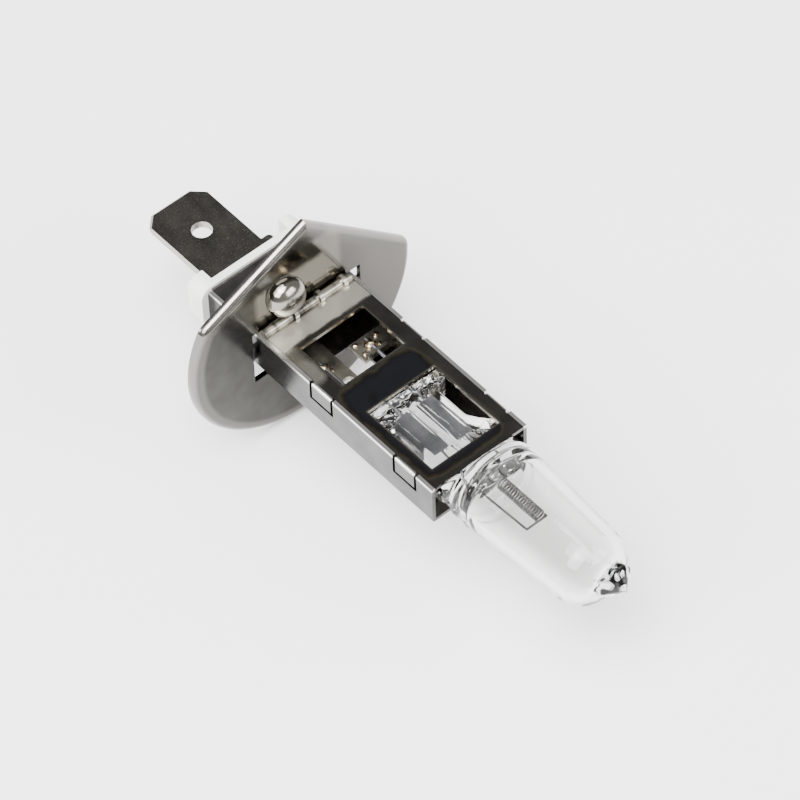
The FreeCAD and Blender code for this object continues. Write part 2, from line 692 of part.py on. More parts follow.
def make_glass(embedded):
    """Flat pinch, swelling shoulder and hollow bulb with its sealed-off tip."""
    low = "burner_rise - pinch_half"
    thick = "2 * pinch_half"
    bar = block("pinch_bar", "pinch_bar_width", "pinch_bar_end - pinch_start", thick,
                "-pinch_bar_width / 2", "-pinch_bar_end", low)
    waist = block("pinch_waist", "pinch_waist_width", "pinch_end - pinch_start", thick,
                  "-pinch_waist_width / 2", "-pinch_end", low)
    flare = doc.addObject("Part::Wedge", "pinch_flare")
    bind(flare, Xmin="-pinch_waist_width / 2", Xmax="pinch_waist_width / 2", X2min="-pinch_front_width / 2",
         X2max="pinch_front_width / 2", Ymin="pinch_waist_end", Ymax="pinch_end", Zmin="0",
         Zmax=thick, Z2min="0", Z2max=thick)
    put(flare, "0", "0", "burner_rise + pinch_half", ((1, 0, 0), 180))
    sections = [ellipse_ring("shoulder_a", "pinch_front_width / 2", "pinch_half",
                             "(pinch_end - shoulder_root)"),
                ellipse_ring("shoulder_b", "bulb_radius_base + shoulder_swell / 2", "pinch_half",
                             "holder_front"),
                ellipse_ring("shoulder_c", "bulb_radius_base + shoulder_swell / 3",
                             "bulb_radius_base - shoulder_flat", "(holder_front + shoulder_reach)"),
                circle_ring("shoulder_d", "bulb_radius_base", "bulb_start")]
    shoulder = doc.addObject("Part::Loft", "burner_shoulder")
    shoulder.Sections = sections
    shoulder.Solid = True
    tube = turned("bulb_outside", 0.0, size("bulb_floor"))
    tip_bead = egg("tip_bead", "tip_radius", "tip_radius", "tip_radius", "0", "-bulb_crown", "burner_rise")
    spike = cone("tip_spike", "spike_radius", "spike_point", "tip_length + spike_sink", "0",
                 "-bulb_crown + spike_sink", "burner_rise")
    outside = fuse("burner_outside", [bar, waist, flare, shoulder, tube, tip_bead, spike])
    cavity = turned("bulb_void", size("glass_wall"), size("cavity_floor"))
    hollow = cut("burner_hollow", outside, [cavity])
    return part("quartz_burner", cut("burner_part", hollow, embedded))


# ---------------------------------------------------------------- weld beads

def make_welds():
    """Beads that join the leads to the live strip and the earth tab."""
    places = {"weld_live": (live_lead_x(), -size("live_weld_at"), size("strip_top"), "live_lead_part"),
              "weld_earth": (size("earth_lead_x"), -size("earth_weld_at"), size("earth_top"),
                             "earth_lead_part")}
    for label, (x, y, z, lead) in places.items():
        puddle = doc.addObject("Part::Cylinder", label + "_puddle")
        puddle.Placement = FreeCAD.Placement(V(x, y, z), FreeCAD.Rotation())
        bind(puddle, Radius="weld_radius", Height="weld_height")
        top = z + size("weld_height")
        bead = rounded(label + "_bead", puddle, size("weld_round"), lambda e: near(middle(e).z, top))
        part(label, cut(label + "_part", bead, [doc.getObject(lead)]))


make_flange()
make_channel()
make_cover()
make_rear_cover()
make_lugs()
make_blade()
make_ceramic()
make_live_strip()
make_earth_tab()
leads = make_outer_leads()
foils = make_foils()
make_filament()
make_welds()
doc.recompute()
make_glass(list(leads) + list(foils) + [doc.getObject("short_support_part"),
                                        doc.getObject("return_support_part")])
doc.recompute()

# ---------------------------------------------------------------- checks and files

for thing in doc.Objects:
    if "Invalid" in thing.State or "Error" in thing.State:
        raise RuntimeError("%s failed: %s" % (thing.Name, thing.State))
for thing in PARTS:
    if thing.Shape.isNull() or not thing.Shape.isValid():
        raise RuntimeError("%s has no valid shape" % thing.Label)
    box = thing.Shape.BoundBox
    print("%-18s %8.2f mm3 solids %d  x %.2f..%.2f y %.2f..%.2f z %.2f..%.2f" % (
        thing.Label, thing.Shape.Volume, len(thing.Shape.Solids), box.XMin, box.XMax, box.YMin, box.YMax,
        box.ZMin, box.ZMax))
    thing.Shape.exportStep("parts/%s.step" % thing.Label)
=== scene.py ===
import math

import bmesh
import bpy
from mathutils import Matrix, Vector, noise


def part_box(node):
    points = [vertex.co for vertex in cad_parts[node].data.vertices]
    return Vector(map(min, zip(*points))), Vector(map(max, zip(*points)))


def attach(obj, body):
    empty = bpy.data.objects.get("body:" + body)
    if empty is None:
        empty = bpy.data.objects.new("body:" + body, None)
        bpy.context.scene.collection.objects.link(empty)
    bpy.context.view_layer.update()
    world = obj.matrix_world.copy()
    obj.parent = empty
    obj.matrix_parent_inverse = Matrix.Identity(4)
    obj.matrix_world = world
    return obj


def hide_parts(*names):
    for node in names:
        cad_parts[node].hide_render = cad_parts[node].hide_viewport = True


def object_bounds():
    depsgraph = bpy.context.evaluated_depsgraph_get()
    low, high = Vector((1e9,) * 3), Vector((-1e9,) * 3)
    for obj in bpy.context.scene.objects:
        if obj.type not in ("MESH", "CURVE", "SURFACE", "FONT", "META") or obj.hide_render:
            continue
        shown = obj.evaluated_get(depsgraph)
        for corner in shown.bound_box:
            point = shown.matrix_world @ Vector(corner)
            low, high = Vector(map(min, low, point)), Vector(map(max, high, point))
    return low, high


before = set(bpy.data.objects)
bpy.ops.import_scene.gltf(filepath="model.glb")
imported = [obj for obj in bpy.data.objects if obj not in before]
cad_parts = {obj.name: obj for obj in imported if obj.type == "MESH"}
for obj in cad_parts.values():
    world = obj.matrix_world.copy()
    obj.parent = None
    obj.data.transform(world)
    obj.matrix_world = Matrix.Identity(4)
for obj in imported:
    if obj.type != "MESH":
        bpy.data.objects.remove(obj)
CAD_LOW, CAD_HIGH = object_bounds()
MM = 0.001
MIX_FIRST, MIX_SECOND, MIX_RESULT = 6, 7, 2   # a Mix node's colour sockets

# ---------------------------------------------------------------- node helpers

JITTER_SCALE = 700.0    # noise scale that makes a patch's edge wander
EDGE_SLACK = 0.01       # keeps a hard-edged patch's falloff above zero width, mm
FULL_SHARE = 0.4        # a patch is at its full from this share of its soft edge
# direction of each straight edge of the flange in degrees, and its distance from the centre in mm
FLANGE_FLATS = ((-24.7, 9.9), (44.1, 8.85))


class Nodes:
    """Short forms for building one material's node tree."""

    def __init__(self, name):
        self.material = bpy.data.materials.new(name)
        self.material.use_nodes = True
        self.tree = self.material.node_tree
        self.shader = self.tree.nodes["Principled BSDF"]
        self.place = self.add("ShaderNodeTexCoord").outputs["Object"]

    def add(self, kind, **values):
        node = self.tree.nodes.new(kind)
        for key, value in values.items():
            setattr(node, key, value)
        return node

    def link(self, source, target):
        self.tree.links.new(source, target)

    def set(self, **values):
        for key, value in values.items():
            self.shader.inputs[key.replace("_", " ")].default_value = value

    def stretched(self, x, y, z):
        """Object coordinates multiplied per axis, for brushed or streaked patterns."""
        node = self.add("ShaderNodeMapping")
        node.inputs["Scale"].default_value = (x, y, z)
        self.link(self.place, node.inputs["Vector"])
        return node.outputs["Vector"]

    def noise(self, scale, detail=4.0, rough=0.55, vector=None):
        node = self.add("ShaderNodeTexNoise")
        node.inputs["Scale"].default_value = scale
        node.inputs["Detail"].default_value = detail
        node.inputs["Roughness"].default_value = rough
        self.link(vector or self.place, node.inputs["Vector"])
        return node.outputs["Fac"]

    def ramp(self, source, *stops):
        """A colour ramp: stops are (position, grey or colour)."""
        node = self.add("ShaderNodeValToRGB")
        points = node.color_ramp.elements
        while len(points) < len(stops):
            points.new(0.5)
        for point, (at, colour) in zip(points, stops):
            point.position = at
            if not isinstance(colour, tuple):
                colour = (colour, colour, colour)
            point.color = colour + (1.0,)
        self.link(source, node.inputs["Fac"])
        return node.outputs["Color"]

    def span(self, source, low, high):
        """The source's 0 to 1 stretched to low to high."""
        node = self.add("ShaderNodeMapRange")
        node.inputs["To Min"].default_value = low
        node.inputs["To Max"].default_value = high
        self.link(source, node.inputs["Value"])
        return node.outputs["Result"]

    def blend(self, share, first, second):
        """Mixes two colours (sockets or tuples) by a share socket."""
        node = self.add("ShaderNodeMix", data_type="RGBA")
        self.link(share, node.inputs["Factor"])
        for number, value in ((MIX_FIRST, first), (MIX_SECOND, second)):
            socket = node.inputs[number]
            if isinstance(value, tuple):
                socket.default_value = value + (1.0,)
            else:
                self.link(value, socket)
        return node.outputs[MIX_RESULT]

    def bump(self, height, strength, distance, under=None):
        node = self.add("ShaderNodeBump")
        node.inputs["Strength"].default_value = strength
        node.inputs["Distance"].default_value = distance
        self.link(height, node.inputs["Height"])
        if under is not None:
            self.link(under, node.inputs["Normal"])
        return node.outputs["Normal"]

    def axis(self, letter):
        """One object coordinate."""
        node = self.add("ShaderNodeSeparateXYZ")
        self.link(self.place, node.inputs[0])
        return node.outputs[letter]

    def math(self, operation, first, second=0.0):
        node = self.add("ShaderNodeMath", operation=operation)
        for socket, value in zip(node.inputs, (first, second)):
            if isinstance(value, float):
                socket.default_value = value
            else:
                self.link(value, socket)
        return node.outputs[0]

    def rise(self, source, start, end):
        """0 to 1 as the source goes from start to end, both in millimetres."""
        node = self.add("ShaderNodeMapRange")
        node.inputs["From Min"].default_value = start * MM
        node.inputs["From Max"].default_value = end * MM
        self.link(source, node.inputs["Value"])
        return node.outputs["Result"]

    def patch(self, centre, half, soft, jitter):
        """1 inside a rounded box, 0 outside; its soft edge wanders by jitter. All sizes are in mm."""
        terms = []
        for letter, at, reach in zip("XYZ", centre, half):
            off = self.math("ABSOLUTE", self.math("SUBTRACT", self.axis(letter), at * MM))
            terms.append(self.math("MAXIMUM", self.math("SUBTRACT", off, (reach - soft) * MM), 0.0))
        joined = self.add("ShaderNodeCombineXYZ")
        for socket, term in zip(joined.inputs, terms):
            self.link(term, socket)
        length = self.add("ShaderNodeVectorMath", operation="LENGTH")
        self.link(joined.outputs[0], length.inputs[0])
        distance = length.outputs["Value"]
        if jitter:
            uneven = self.span(self.noise(JITTER_SCALE, 3.0), -jitter * MM, jitter * MM)
            distance = self.math("ADD", distance, uneven)
        return self.rise(distance, soft + EDGE_SLACK, FULL_SHARE * soft)

    def flange_edge(self):
        """Signed distance to the flange's outline, negative inside it."""
        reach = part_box("flange")[1].x
        radius = self.add("ShaderNodeVectorMath", operation="LENGTH")
        flat = self.add("ShaderNodeVectorMath", operation="MULTIPLY")
        flat.inputs[1].default_value = (1.0, 0.0, 1.0)
        self.link(self.place, flat.inputs[0])
        self.link(flat.outputs[0], radius.inputs[0])
        nearest = self.math("SUBTRACT", radius.outputs["Value"], reach)
        for slope, depth in FLANGE_FLATS:
            turn = math.radians(slope)
            along = self.add("ShaderNodeVectorMath", operation="DOT_PRODUCT")
            along.inputs[1].default_value = (math.sin(turn), 0.0, math.cos(turn))
            self.link(self.place, along.inputs[0])
            past = self.math("SUBTRACT", along.outputs["Value"], depth * MM)
            nearest = self.math("MAXIMUM", nearest, past)
        return nearest

    def tint(self, share, colour):
        """Paints a colour over the tone where the share is 1."""
        self.tone = self.blend(share, self.tone, colour)

    def finish(self, colour=None, roughness=None, normal=None):
        for socket, source in (("Base Color", colour), ("Roughness", roughness), ("Normal", normal)):
            if source is not None:
                self.link(source, self.shader.inputs[socket])
        return self.material


# ---------------------------------------------------------------- materials

MOTTLE_SCALE, POLISH_SCALE, WAVE_SCALE = 420.0, 900.0, 140.0
GRAIN_DEPTH, WAVE_DEPTH = 0.00002, 0.0004     # height of the grain and of the waviness, m

# flange: colours (linear red, green, blue), then places in mm
FACE_DARK, FACE_LIGHT = (0.033, 0.031, 0.027), (0.053, 0.050, 0.044)
# painted light: the right side's lighter tone, the band's and the rim's highlights, and the field's and
# the pip's reflections are all painted
FACE_RIGHT_PAINTED_LIGHT, FACE_BAND_HIGHLIGHT = (0.100, 0.094, 0.085), (0.10, 0.095, 0.086)
FACE_FIELD_REFLECTION, FACE_RIM_HIGHLIGHT, FACE_PIP_REFLECTION = (0.15, 0.141, 0.124), (0.20, 0.19, 0.175), (0.27, 0.255, 0.225)
RIGHT_SPAN = (-2.0, 8.0)             # painted light: the face grows lighter over this stretch of X
BAND_SPAN, RIM_SPAN = (-1.3, -0.9), (-0.45, -0.15)     # distance to the outline, negative inside; the band and the rim carry painted highlights
# the field: a painted reflection of the cover, on a face that is also smoother there
FIELD_CENTRE, FIELD_HALF = (-0.4, 0.0, 5.2), (4.9, 1.0, 4.0)
FIELD_ROUGHNESS = 0.35               # share of the face's roughness that is left in the field
PIP_SPAN = (-0.05, -0.15)            # Y where the pip stands out of the face; the pip is painted lighter as a painted reflection

# holder channel
WALL_DARK, WALL_LIGHT = (0.052, 0.051, 0.050), (0.108, 0.106, 0.105)
# painted light: painted shade near the flange, a painted highlight on the upper bends and painted shade
# inside the channel
WALL_SHADE_NEAR_FLANGE, WALL_BEND_HIGHLIGHT, WALL_INSIDE_SHADE = (0.026, 0.025, 0.023), (0.85, 0.84, 0.82), (0.15, 0.137, 0.118)
# painted shade near the flange
SHADE_CENTRE, SHADE_HALF = (0.0, 2.0, 0.0), (8.0, 5.5, 4.0)
WALL_HIGHLIGHT_SPAN = (1.62, 1.8)         # Z of the upper bends, where their highlight is painted
# painted shade inside the channel
SHADE_INSIDE_CENTRE, SHADE_INSIDE_HALF = (0.0, -8.0, 0.3), (4.9, 14.8, 2.26)

# plain metals
REAR_DARK, REAR_LIGHT = (0.10, 0.095, 0.09), (0.22, 0.21, 0.20)
LUG_DARK, LUG_LIGHT = (0.30, 0.29, 0.27), (0.45, 0.44, 0.41)
CONTACT_DARK, CONTACT_LIGHT = (0.18, 0.168, 0.14), (0.42, 0.40, 0.35)
WIRE_DARK, WIRE_LIGHT = (0.18, 0.18, 0.19), (0.34, 0.34, 0.36)
TUNGSTEN_DARK, TUNGSTEN_LIGHT = (0.10, 0.098, 0.095), (0.20, 0.195, 0.19)
WELD_DARK, WELD_LIGHT = (0.16, 0.09, 0.05), (0.60, 0.52, 0.36)

# terminal blade
BLADE_DARK, BLADE_LIGHT = (0.048, 0.046, 0.040), (0.085, 0.081, 0.072)
# the second colour on the next line is a painted highlight for the sides and bevels
BLADE_SPECK, BLADE_EDGE_HIGHLIGHT = (0.17, 0.163, 0.145), (0.42, 0.40, 0.36)
SPECK_SCALE, SPECK_FROM, SPECK_FULL = 9500.0, 0.56, 0.7
EDGE_HIGHLIGHT_SPAN = (-0.355, -0.375)          # Z just under the blade's top face, where the painted highlight begins

# holder cover
PLATE_DARK, PLATE_LIGHT = (0.085, 0.080, 0.072), (0.14, 0.132, 0.12)
CREAM, LEFT_GREY, WINDOW_LIP = (0.68, 0.655, 0.59), (0.62, 0.60, 0.53), (0.24, 0.225, 0.19)
# the second colour on the next line is a painted highlight for the tabs' bends
LEG, LEG_BEND_HIGHLIGHT = (0.09, 0.088, 0.086), (0.75, 0.74, 0.72)
SEAM_DARK, SEAM_LIGHT = (0.06, 0.056, 0.048), (0.34, 0.32, 0.28)
CREAM_CENTRE, CREAM_HALF, CREAM_DULLING = (0.0, -1.6, 2.0), (6.0, 1.7, 2.0), 0.16
LEFT_CENTRE, LEFT_HALF = (-4.6, -4.8, 1.9), (1.2, 3.2, 1.0)
HEAT_CENTRE, HEAT_HALF = (-0.5, -15.8, 1.9), (4.6, 6.5, 1.0)
# heat tint from its edge to its middle: share, colour
HEAT_TINT = ((0.0, (0.16, 0.15, 0.13)), (0.3, (0.16, 0.14, 0.10)), (0.6, (0.085, 0.075, 0.062)),
             (0.8, (0.05, 0.05, 0.055)), (1.0, (0.065, 0.067, 0.078)))
HEAT_SHOWN = 0.15                    # the tint is opaque from this share on
# middle Y and half sizes in X and Y of each window, and how wide its lip shows
WINDOWS = ((-6.45, 3.45, 2.75), (-16.85, 3.7, 4.1))
LIP_WIDTH, LIP_SOFT, PLATE_Z = 0.16, 0.06, 1.8
LEG_SPAN = (4.9, 5.0)                # distance from the middle where the folded tabs begin
LEG_HIGHLIGHT_SPAN = (1.66, 1.8)          # Z of their bends, where their highlight is painted
SEAM_SPAN = (-1.25, -1.0)            # Y where the rolled seam begins

# ceramic and quartz
CERAMIC_DARK, CERAMIC_LIGHT = (0.80, 0.80, 0.76), (0.90, 0.90, 0.87)
QUARTZ_TIP, QUARTZ_BODY = (0.90, 0.902, 0.895), (0.97, 0.972, 0.97)
TIP_SPAN = (-38.0, -38.8)            # Y where the drawn tip's glass begins


def metal(name, dark, light, polish, grain, streak=(1, 1, 1), wave=0.0, pits=0.06):
    """Sheet or drawn metal: mottled colour, uneven polish, fine grain and slight waviness."""
    n = Nodes(name)
    n.set(Metallic=1.0)
    mottle = n.noise(MOTTLE_SCALE, 5.0)
    fine = n.noise(grain, 3.0, 0.6, n.stretched(*streak))
    n.tone = n.ramp(mottle, (0.3, dark), (0.7, light))
    n.polish = n.span(n.noise(POLISH_SCALE, 4.0), *polish)
    n.relief = n.bump(fine, pits, GRAIN_DEPTH)
    if wave:
        n.relief = n.bump(n.noise(WAVE_SCALE, 1.0), wave, WAVE_DEPTH, n.relief)
    return n


def done(n):
    return n.finish(n.tone, n.polish, n.relief)


def flange_metal():
    """Dull warm face with painted light: lighter towards +X, painted highlights on the band inside the rim
    and on the rim, a painted reflection of the cover on a smoother field at the pip, and a painted
    reflection on the pip.
    """
    n = metal("flange_sheet_metal", FACE_DARK, FACE_LIGHT, polish=(0.16, 0.26), grain=9000.0, wave=0.2,
              pits=0.12)
    # painted light: the face is painted lighter towards +X
    n.tint(n.rise(n.axis("X"), *RIGHT_SPAN), FACE_RIGHT_PAINTED_LIGHT)
    edge = n.flange_edge()
    # painted highlight on the band inside the rim, where the lip bends
    n.tint(n.rise(edge, *BAND_SPAN), FACE_BAND_HIGHLIGHT)
    field = n.patch(FIELD_CENTRE, FIELD_HALF, soft=1.0, jitter=0.12)
    # painted reflection of the cover on the field
    n.tint(field, FACE_FIELD_REFLECTION)
    n.polish = n.math("MULTIPLY", n.polish, n.span(field, 1.0, FIELD_ROUGHNESS))
    # painted highlight on the rim
    n.tint(n.rise(edge, *RIM_SPAN), FACE_RIM_HIGHLIGHT)
    # painted reflection on the pip
    n.tint(n.rise(n.axis("Y"), *PIP_SPAN), FACE_PIP_REFLECTION)
    return done(n)


def holder_metal():
    """Grey outside with painted shade near the flange and painted highlights on the upper bends; painted
    shade inside, in dark brown.
    """
    n = metal("holder_sheet_metal", WALL_DARK, WALL_LIGHT, polish=(0.14, 0.28), grain=12000.0,
              streak=(1.0, 0.2, 1.0), wave=0.1)
    # painted shade on the walls near the flange
    n.tint(n.patch(SHADE_CENTRE, SHADE_HALF, soft=3.0, jitter=0.5), WALL_SHADE_NEAR_FLANGE)
    # painted highlight on the upper bends
    n.tint(n.rise(n.axis("Z"), *WALL_HIGHLIGHT_SPAN), WALL_BEND_HIGHLIGHT)
    # painted shade inside the channel, in dark brown
    n.tint(n.patch(SHADE_INSIDE_CENTRE, SHADE_INSIDE_HALF, soft=0.02, jitter=0.0), WALL_INSIDE_SHADE)
    return done(n)


def rear_cover_metal():
    return done(metal("rear_cover_sheet_metal", REAR_DARK, REAR_LIGHT, polish=(0.14, 0.24),
                      grain=12000.0, streak=(0.2, 1.0, 1.0), wave=0.1))


def lug_metal():
    return done(metal("lug_sheet_metal", LUG_DARK, LUG_LIGHT, polish=(0.2, 0.32), grain=12000.0))


def blade_metal():
    """Dark grainy plate with a painted highlight on its cut edges and bevels."""
    n = metal("blade_plate_metal", BLADE_DARK, BLADE_LIGHT, polish=(0.34, 0.5), grain=7000.0, pits=0.6)
    n.tint(n.ramp(n.noise(SPECK_SCALE, 2.0, 0.7), (SPECK_FROM, 0.0), (SPECK_FULL, 1.0)), BLADE_SPECK)
    # painted highlight on the sides and bevels below the top face
    n.tint(n.rise(n.axis("Z"), *EDGE_HIGHLIGHT_SPAN), BLADE_EDGE_HIGHLIGHT)
    return done(n)


def contact_metal():
    return done(metal("contact_strip_metal", CONTACT_DARK, CONTACT_LIGHT, polish=(0.2, 0.4),
                      grain=8000.0, streak=(1.0, 0.3, 1.0)))


def wire_metal():
    return done(metal("drawn_wire_metal", WIRE_DARK, WIRE_LIGHT, polish=(0.25, 0.4), grain=15000.0,
                      streak=(1.0, 0.1, 1.0)))


def tungsten_metal():
    return done(metal("tungsten_metal", TUNGSTEN_DARK, TUNGSTEN_LIGHT, polish=(0.3, 0.45),
                      grain=20000.0))


def weld_metal():
    return done(metal("weld_bead_metal", WELD_DARK, WELD_LIGHT, polish=(0.12, 0.35), grain=3000.0,
                      pits=0.6))


def cover_metal():
    """Cream at the seam, grey beside the windows, blue-black heat tint round the front window, and painted
    highlights on the tabs' bends.
    """
    n = metal("cover_tinted_metal", PLATE_DARK, PLATE_LIGHT, polish=(0.13, 0.24), grain=12000.0,
              wave=0.12)
    cream = n.patch(CREAM_CENTRE, CREAM_HALF, soft=0.5, jitter=0.25)
    n.tint(cream, CREAM)
    n.polish = n.math("ADD", n.polish, n.span(cream, 0.0, CREAM_DULLING))
    n.tint(n.patch(LEFT_CENTRE, LEFT_HALF, soft=1.0, jitter=0.4), LEFT_GREY)
    heat = n.patch(HEAT_CENTRE, HEAT_HALF, soft=1.3, jitter=0.5)
    n.tint(n.ramp(heat, (0.0, 0.0), (HEAT_SHOWN, 1.0)), n.ramp(heat, *HEAT_TINT))
    for middle_y, half_x, half_y in WINDOWS:
        lip = n.patch((0.0, middle_y, PLATE_Z), (half_x + LIP_WIDTH, half_y + LIP_WIDTH, 1.0),
                      soft=LIP_SOFT, jitter=0.0)
        n.tint(lip, WINDOW_LIP)
    legs = n.rise(n.math("ABSOLUTE", n.axis("X")), *LEG_SPAN)
    n.tint(legs, LEG)
    # painted highlight on the bends of the folded tabs
    n.tint(n.math("MULTIPLY", legs, n.rise(n.axis("Z"), *LEG_HIGHLIGHT_SPAN)), LEG_BEND_HIGHLIGHT)
    rolls = n.ramp(n.noise(900.0, 2.0, 0.5, n.stretched(1.0, 0.2, 0.2)), (0.4, SEAM_DARK),
                   (0.6, SEAM_LIGHT))
    n.tint(n.rise(n.axis("Y"), *SEAM_SPAN), rolls)
    return done(n)


def ceramic():
    """Fired white ceramic: slightly mottled, matt and fine-grained."""
    n = Nodes("white_steatite")
    n.set(IOR=1.55, Subsurface_Weight=0.15, Subsurface_Scale=0.001)
    n.shader.inputs["Subsurface Radius"].default_value = (1.0, 0.9, 0.8)
    colour = n.ramp(n.noise(600.0, 6.0), (0.3, CERAMIC_DARK), (0.7, CERAMIC_LIGHT))
    roughness = n.span(n.noise(2500.0, 3.0), 0.4, 0.6)
    return n.finish(colour, roughness, n.bump(n.noise(5000.0, 4.0), 0.25, 0.00003))


def quartz():
    """Clear glass with a faint wave, a little rougher and greyer at the drawn tip."""
    n = Nodes("clear_quartz")
    n.set(IOR=1.458, Transmission_Weight=1.0)
    drawn = n.rise(n.axis("Y"), *TIP_SPAN)
    roughness = n.math("ADD", n.span(n.noise(260.0, 2.0), 0.0, 0.02), n.span(drawn, 0.0, 0.05))
    colour = n.blend(drawn, QUARTZ_TIP, QUARTZ_BODY)
    return n.finish(colour, roughness, n.bump(n.noise(110.0, 1.5), 0.06, 0.0004))


MATERIALS = {
    "flange": flange_metal,
    "holder_channel": holder_metal,
    "holder_cover": cover_metal,
    "rear_cover": rear_cover_metal,
    "lug_left": lug_metal,
    "lug_right": lug_metal,
    "terminal_blade": blade_metal,
    "ceramic_insulator": ceramic,
    "live_strip": contact_metal,
    "earth_tab": contact_metal,
    "live_lead": wire_metal,
    "earth_lead": wire_metal,
    "foil_live": wire_metal,
    "foil_earth": wire_metal,
    "filament_coil": tungsten_metal,
    "short_support": tungsten_metal,
    "return_support": tungsten_metal,
    "weld_live": weld_metal,
    "weld_earth": weld_metal,
    "quartz_burner": quartz,
}


def paint_frame():
    made = {}
    for node, maker in MATERIALS.items():
        if maker not in made:
            made[maker] = maker()
        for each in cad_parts[node].material_slots:
            each.material = made[maker]


paint_frame()


def add_piece(name, mesh, node):
    """Makes a smooth piece of a bmesh, in the place and the material of a CAD node."""
    data = bpy.data.meshes.new(name)
    mesh.to_mesh(data)
    mesh.free()
    data.polygons.foreach_set("use_smooth", [True] * len(data.polygons))
    piece = bpy.data.objects.new(name, data)
    bpy.context.collection.objects.link(piece)
    piece.data.materials.append(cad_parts[node].material_slots[0].material)
    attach(piece, "root")
    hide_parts(node)
    return piece


# ---------------------------------------------------------------- glass burner

AXIS_Z = 0.3       # height of the burner's axis above the frame's origin, mm
RING = 192         # points round one section
STEP = 0.2         # distance between sections, mm

# distance ahead of the flange, half width and half height in mm, and roundness from 0 to 1
OUTSIDE = (
    (12.62, 3.75, 1.10, 0.12), (12.9, 3.95, 1.28, 0.08), (13.9, 3.95, 1.32, 0.05), (14.4, 2.9, 1.22, 0.05),
    (14.9, 2.45, 1.26, 0.05), (18.2, 2.45, 1.28, 0.05), (19.2, 3.1, 1.30, 0.05), (20.7, 4.40, 1.32, 0.08),
    (21.6, 4.50, 1.34, 0.25), (22.6, 4.42, 1.55, 0.5), (23.3, 4.32, 2.65, 0.85), (24.0, 4.28, 3.55, 1.0),
    (25.0, 4.2, 4.05, 1.0), (26.2, 4.18, 4.15, 1.0), (35.0, 3.72, 3.72, 1.0), (36.3, 3.60, 3.60, 1.0),
    (37.2, 3.34, 3.34, 1.0), (37.9, 2.85, 2.85, 1.0), (38.25, 2.25, 2.25, 1.0), (38.4, 1.75, 1.75, 1.0),
    (38.6, 1.60, 1.60, 1.0), (38.9, 1.62, 1.62, 1.0), (39.3, 1.50, 1.50, 1.0), (39.6, 1.20, 1.20, 1.0),
    (39.85, 0.80, 0.80, 1.0), (40.05, 0.45, 0.45, 1.0), (40.3, 0.22, 0.22, 1.0), (40.58, 0.07, 0.07, 1.0),
)
# the same for the hollow: a rounded floor, the tube and the dome
INSIDE = (
    (23.85, 1.2, 0.5, 1.0), (24.1, 2.5, 1.5, 1.0), (24.6, 3.15, 2.5, 1.0), (25.4, 3.34, 3.1, 1.0),
    (26.6, 3.33, 3.3, 1.0), (35.0, 2.88, 2.88, 1.0), (36.2, 2.72, 2.72, 1.0), (36.9, 2.35, 2.35, 1.0),
    (37.4, 1.7, 1.7, 1.0), (37.65, 0.9, 0.9, 1.0), (37.75, 0.3, 0.3, 1.0),
)

# stretches ahead of the flange with marks from the making, and the soft distance at their ends, mm
RIBS = (14.6, 19.6, 0.8)        # lengthwise ribs of the pinch
CRUMBLE = (12.6, 14.3, 0.3)     # broken-looking rear end
SHELF = (21.4, 25.6, 0.8)       # rings at the shoulder
TIP = (38.5, 40.4, 0.4)         # lumps of the sealed tip
LEAN = (39.0, 42.0, 1.0)        # stretch over which the tip leans
RIB_HEIGHT, RIB_PITCH, RIB_WOBBLE = 0.16, 0.62, 0.22
CRUMBLE_HEIGHT = 0.22
RING_SWELL, RING_PITCH, SHELF_SWELL = 0.020, 1.25, 0.03
TIP_SWELL = 0.17
TIP_LEAN = (0.35, 0.5)          # how far the tip leans to +X and +Z


def section_at(table, ahead):
    """Half width, half height and roundness between the rows of a table."""
    for near_row, far_row in zip(table, table[1:]):
        if ahead <= far_row[0]:
            share = (ahead - near_row[0]) / (far_row[0] - near_row[0])
            share = max(share, 0.0)
            return tuple(n + (f - n) * share for n, f in zip(near_row[1:], far_row[1:]))
    return table[-1][1:]


def between(value, low, high, soft):
    """1 between two places, easing to 0 over a soft distance outside them."""
    edge = min(value - low, high - value)
    return max(0.0, min(1.0, 1.0 + edge / soft))


def surface_point(table, ahead, angle, marked):
    """One point of a skin: a rounded section, and where marked, the marks from the making."""
    half_x, half_z, roundness = section_at(table, ahead)
    cosine, sine = math.cos(angle), math.sin(angle)
    stretch = roundness + (1.0 - roundness) / max(abs(cosine), abs(sine))
    x = half_x * cosine * stretch
    z = half_z * sine * stretch
    if marked:
        flank = max(0.0, 1.0 - (abs(x) / half_x) ** 6)
        wobble = RIB_WOBBLE * noise.noise(Vector((x * 2.1, ahead * 0.16, 3.0)))
        rib = RIB_HEIGHT * math.cos(2.0 * math.pi * x / RIB_PITCH) + wobble
        z += math.copysign(between(ahead, *RIBS) * flank * rib, z)
        rubble = noise.noise(Vector((x * 1.7, ahead * 1.9, z)))
        z += between(ahead, *CRUMBLE) * CRUMBLE_HEIGHT * rubble
        shelf = between(ahead, *SHELF)
        swell = 1.0 + shelf * RING_SWELL * math.sin(2.0 * math.pi * ahead / RING_PITCH)
        swell += shelf * SHELF_SWELL * noise.noise(Vector((x * 0.5, ahead * 0.7, z * 0.5)))
        lump = noise.noise(Vector((x * 1.6, ahead * 1.3, z * 1.6 + 5.0)))
        swell += between(ahead, *TIP) * TIP_SWELL * lump
        lean = between(ahead, *LEAN)
        x, z = x * swell + lean * TIP_LEAN[0], z * swell + lean * TIP_LEAN[1]
    return x * MM, -ahead * MM, (z + AXIS_Z) * MM


